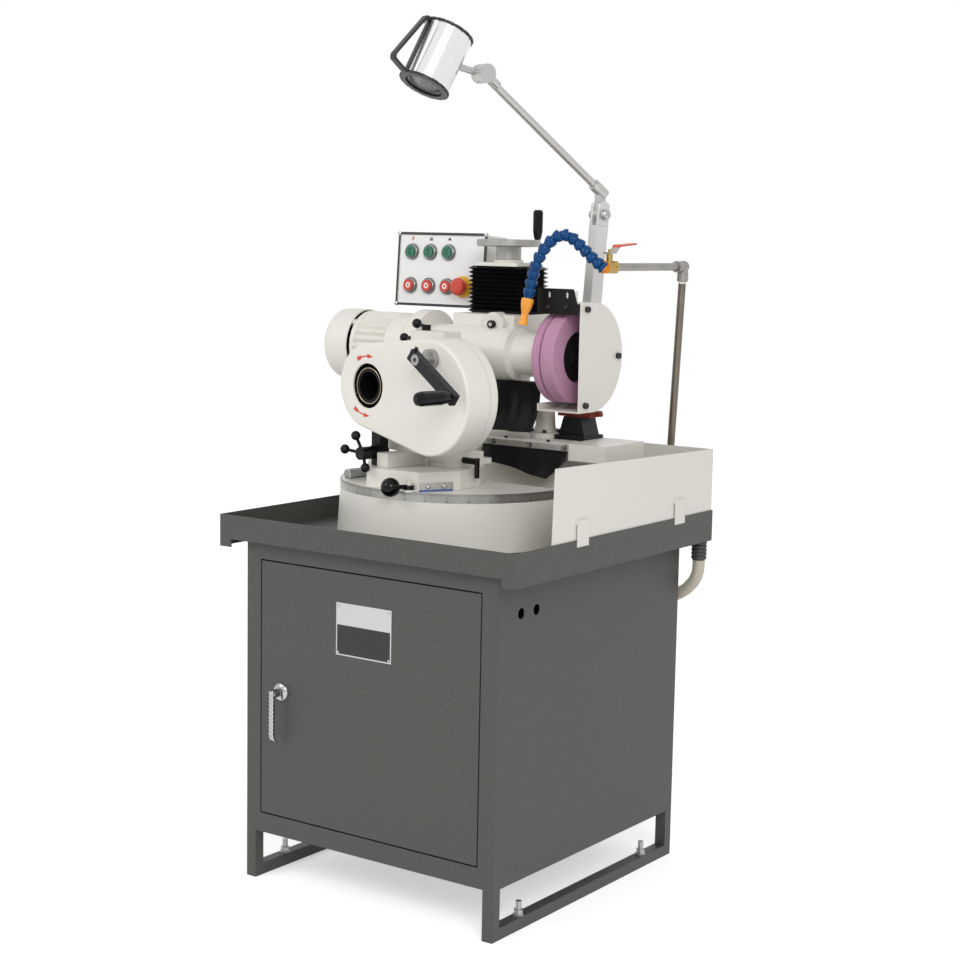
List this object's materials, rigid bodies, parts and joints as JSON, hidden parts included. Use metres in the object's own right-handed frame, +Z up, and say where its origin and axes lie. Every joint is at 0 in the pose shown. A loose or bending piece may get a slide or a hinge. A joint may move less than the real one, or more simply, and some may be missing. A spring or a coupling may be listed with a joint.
{
  "type": "tool and cutter grinder",
  "caption": "Tool and cutter grinder on a grey cabinet stand with drip tray, swivelling cream workhead with crank, pink grinding wheels, coolant hose, push-button panel and work lamp.",
  "frame": {"origin": "on the floor under the middle of the machine's outer box", "axes": "+X to the right along the cabinet's front, +Y to the back, +Z up"},
  "size_m": [0.82, 0.87, 1.8235],
  "materials": {
    "cabinet_grey": "fine-textured grey powder coat",
    "machine_cream": "semi-gloss cream enamel",
    "zinc": "zinc-plated steel",
    "steel": "ground steel",
    "blackened_steel": "blackened steel, oiled",
    "chrome": "polished chrome plate",
    "aluminium": "bright turned aluminium",
    "tank_grey": "satin grey paint",
    "brass": "plain turned brass",
    "lever_red": "red dip coat",
    "clear_hose": "translucent flexible PVC",
    "hose_blue": "moulded blue acetal",
    "hose_orange": "moulded orange acetal",
    "rubber": "black rubber sheet",
    "black_plastic": "polished black phenolic",
    "abrasive_pink": "pink bonded abrasive grain",
    "green_plastic": "moulded green plastic",
    "red_plastic": "moulded red plastic"
  },
  "bodies": {
    "stand": {"stand_frame": "cabinet_grey", "cabinet_panels": "cabinet_grey", "levelling_feet": "zinc", "tray": "cabinet_grey", "splash_guard": "machine_cream", "coolant_tank": "tank_grey", "drain_hose": "clear_hose", "coolant_pipe": "zinc", "valve_body": "brass", "base_casting": "machine_cream", "scale_ring": "steel", "bed_casting": "machine_cream", "lower_apron": "rubber", "dresser_stand": "blackened_steel", "column": "machine_cream", "bellows": "rubber", "control_box": "machine_cream", "button_collars": "chrome", "lamp_base": "zinc"},
    "door": {"door": "cabinet_grey", "door_fittings": "chrome"},
    "door_handle": {"door_handle": "chrome"},
    "valve_lever": {"valve_lever": "lever_red"},
    "hose": {"coolant_hose": "hose_blue"},
    "nozzle": {"coolant_nozzle": "hose_orange"},
    "swivel": {"swivel_plate": "machine_cream", "vernier_plate": "steel", "feed_bracket": "machine_cream"},
    "swivel_lever": {"swivel_lever": "black_plastic"},
    "workhead": {"feed_slide": "machine_cream", "headstock": "machine_cream", "gear_cover": "machine_cream"},
    "capstan": {"feed_capstan": "black_plastic"},
    "slide_lever": {"slide_lever": "black_plastic"},
    "index_lever": {"index_lever": "black_plastic"},
    "index_plunger": {"index_plunger": "black_plastic"},
    "spindle": {"work_spindle": "blackened_steel"},
    "idler": {"idler_gear": "steel"},
    "crank": {"crank_shaft": "steel", "crank_arm": "blackened_steel"},
    "crank_grip": {"crank_grip": "black_plastic"},
    "wheelhead": {"wheelhead": "machine_cream", "motor_frame": "machine_cream", "wheel_guard": "machine_cream", "upper_apron": "rubber"},
    "wheel": {"rotor_shaft": "blackened_steel", "grinding_wheel": "abrasive_pink"},
    "shutter": {"guard_shutter": "blackened_steel"},
    "handwheel": {"handwheel": "steel"},
    "handwheel_grip": {"handwheel_grip": "black_plastic"},
    "emergency_stop": {"emergency_stop": "red_plastic"},
    "lamp_post": {"lamp_post": "aluminium"},
    "lamp_arm": {"lamp_arm": "aluminium"},
    "lamp_head": {"lamp_head": "aluminium"},
    "start_button_1": {"start_button_1": "green_plastic"},
    "stop_button_1": {"stop_button_1": "red_plastic"},
    "start_button_2": {"start_button_2": "green_plastic"},
    "stop_button_2": {"stop_button_2": "red_plastic"},
    "start_button_3": {"start_button_3": "green_plastic"},
    "stop_button_3": {"stop_button_3": "red_plastic"}
  },
  "joints": [
    {"name": "door_hinge", "type": "hinge", "parent": "stand", "child": "door", "pos_m": [0.303, -0.32748, 0.423], "axis": [0, 0, 1], "range_deg": [0, 100]},
    {"name": "door_handle_turn", "type": "hinge", "parent": "door", "child": "door_handle", "pos_m": [-0.201, -0.33648, 0.421], "axis": [0, 1, 0], "range_deg": [0, 90]},
    {"name": "valve_turn", "type": "hinge", "parent": "stand", "child": "valve_lever", "pos_m": [0.29297, 0.13189, 1.352], "axis": [0, 0, 1], "range_deg": [-90, 0]},
    {"name": "hose_swivel", "type": "hinge", "parent": "stand", "child": "hose", "pos_m": [0.29297, 0.10789, 1.322], "axis": [0, 1, 0], "range_deg": [0, 30]},
    {"name": "nozzle_turn", "type": "hinge", "parent": "hose", "child": "nozzle", "pos_m": [0.166, 0.01852, 1.255], "axis": [-0.1228, -0.1404, -0.9825], "continuous": true},
    {"name": "swivel_turn", "type": "hinge", "parent": "stand", "child": "swivel", "pos_m": [0.003, 0.01352, 0.861], "axis": [0, 0, 1], "range_deg": [-40, 15]},
    {"name": "swivel_clamp", "type": "hinge", "parent": "swivel", "child": "swivel_lever", "pos_m": [0.056, -0.23872, 0.905], "axis": [0, 0, 1], "range_deg": [0, 45]},
    {"name": "workhead_feed", "type": "slide", "parent": "swivel", "child": "workhead", "axis": [0.1736, 0.9848, 0], "range_m": [-0.02, 0.01]},
    {"name": "capstan_turn", "type": "hinge", "parent": "swivel", "child": "capstan", "pos_m": [-0.07401, -0.23894, 0.9294], "axis": [0.1736, 0.9848, 0], "range_deg": [-1440, 720]},
    {"name": "slide_clamp", "type": "hinge", "parent": "workhead", "child": "slide_lever", "pos_m": [0.12559, -0.09745, 0.9164], "axis": [0.9848, -0.1736, 0], "range_deg": [0, 45]},
    {"name": "index_turn", "type": "hinge", "parent": "workhead", "child": "index_lever", "pos_m": [-0.04044, -0.06005, 1.181], "axis": [0, 0, 1], "range_deg": [0, 60]},
    {"name": "plunger_pull", "type": "slide", "parent": "workhead", "child": "index_plunger", "axis": [-0.9848, 0.1736, 0], "range_m": [0, 0.012], "stiffness_N_per_m": 500},
    {"name": "spindle_turn", "type": "hinge", "parent": "workhead", "child": "spindle", "pos_m": [-0.02391, -0.13912, 1.073], "axis": [0.1736, 0.9848, 0], "continuous": true},
    {"name": "idler_turn", "type": "hinge", "parent": "workhead", "child": "idler", "pos_m": [0.13994, -0.24417, 1.06107], "axis": [0.1736, 0.9848, 0], "continuous": true},
    {"name": "crank_turn", "type": "hinge", "parent": "workhead", "child": "crank", "pos_m": [0.14494, -0.29583, 1.13986], "axis": [0.1736, 0.9848, 0], "continuous": true},
    {"name": "crank_grip_turn", "type": "hinge", "parent": "crank", "child": "crank_grip", "pos_m": [0.22738, -0.3916, 1.07387], "axis": [0.1736, 0.9848, 0], "continuous": true},
    {"name": "wheelhead_lift", "type": "slide", "parent": "stand", "child": "wheelhead", "axis": [0, 0, 1], "range_m": [0, 0.04], "deforming": ["bellows"]},
    {"name": "wheel_turn", "type": "hinge", "parent": "wheelhead", "child": "wheel", "pos_m": [0.208, 0.11352, 1.13], "axis": [1, 0, 0], "continuous": true},
    {"name": "shutter_lift", "type": "slide", "parent": "wheelhead", "child": "shutter", "axis": [0, 0, 1], "range_m": [0, 0.02]},
    {"name": "handwheel_turn", "type": "hinge", "parent": "stand", "child": "handwheel", "pos_m": [-0.015, 0.20552, 1.359], "axis": [0, 0, 1], "range_deg": [0, 3600]},
    {"name": "handwheel_grip_turn", "type": "hinge", "parent": "handwheel", "child": "handwheel_grip", "pos_m": [0.036, 0.24352, 1.367], "axis": [0, 0, 1], "continuous": true},
    {"name": "start_press_1", "type": "slide", "parent": "stand", "child": "start_button_1", "axis": [0, 0.9976, -0.0698], "range_m": [0, 0.003], "stiffness_N_per_m": 800},
    {"name": "stop_press_1", "type": "slide", "parent": "stand", "child": "stop_button_1", "axis": [0, 0.9976, -0.0698], "range_m": [0, 0.003], "stiffness_N_per_m": 800},
    {"name": "start_press_2", "type": "slide", "parent": "stand", "child": "start_button_2", "axis": [0, 0.9976, -0.0698], "range_m": [0, 0.003], "stiffness_N_per_m": 800},
    {"name": "stop_press_2", "type": "slide", "parent": "stand", "child": "stop_button_2", "axis": [0, 0.9976, -0.0698], "range_m": [0, 0.003], "stiffness_N_per_m": 800},
    {"name": "start_press_3", "type": "slide", "parent": "stand", "child": "start_button_3", "axis": [0, 0.9976, -0.0698], "range_m": [0, 0.003], "stiffness_N_per_m": 800},
    {"name": "stop_press_3", "type": "slide", "parent": "stand", "child": "stop_button_3", "axis": [0, 0.9976, -0.0698], "range_m": [0, 0.003], "stiffness_N_per_m": 800},
    {"name": "emergency_press", "type": "slide", "parent": "stand", "child": "emergency_stop", "axis": [0, 0.9976, -0.0698], "range_m": [0, 0.005], "stiffness_N_per_m": 1500},
    {"name": "lamp_base_turn", "type": "hinge", "parent": "stand", "child": "lamp_post", "pos_m": [0.157, 0.25352, 0.982], "axis": [0.9455, -0.3256, 0], "range_deg": [-15, 0]},
    {"name": "lamp_elbow_turn", "type": "hinge", "parent": "lamp_post", "child": "lamp_arm", "pos_m": [0.1688, 0.2878, 1.4325], "axis": [0.9455, -0.3256, 0], "range_deg": [-30, 20]},
    {"name": "lamp_knuckle_turn", "type": "hinge", "parent": "lamp_arm", "child": "lamp_head", "pos_m": [0.0645, -0.01508, 1.7163], "axis": [0.9455, -0.3256, 0], "range_deg": [-40, 40]}
  ],
  "couplings": [
    {"joint": "capstan_turn", "follows": "workhead_feed", "rad_per_m": 1256.6},
    {"joint": "idler_turn", "follows": "spindle_turn", "ratio": -0.71429},
    {"joint": "crank_turn", "follows": "spindle_turn", "ratio": 1.5714},
    {"joint": "handwheel_turn", "follows": "wheelhead_lift", "rad_per_m": 1570.8}
  ]
}
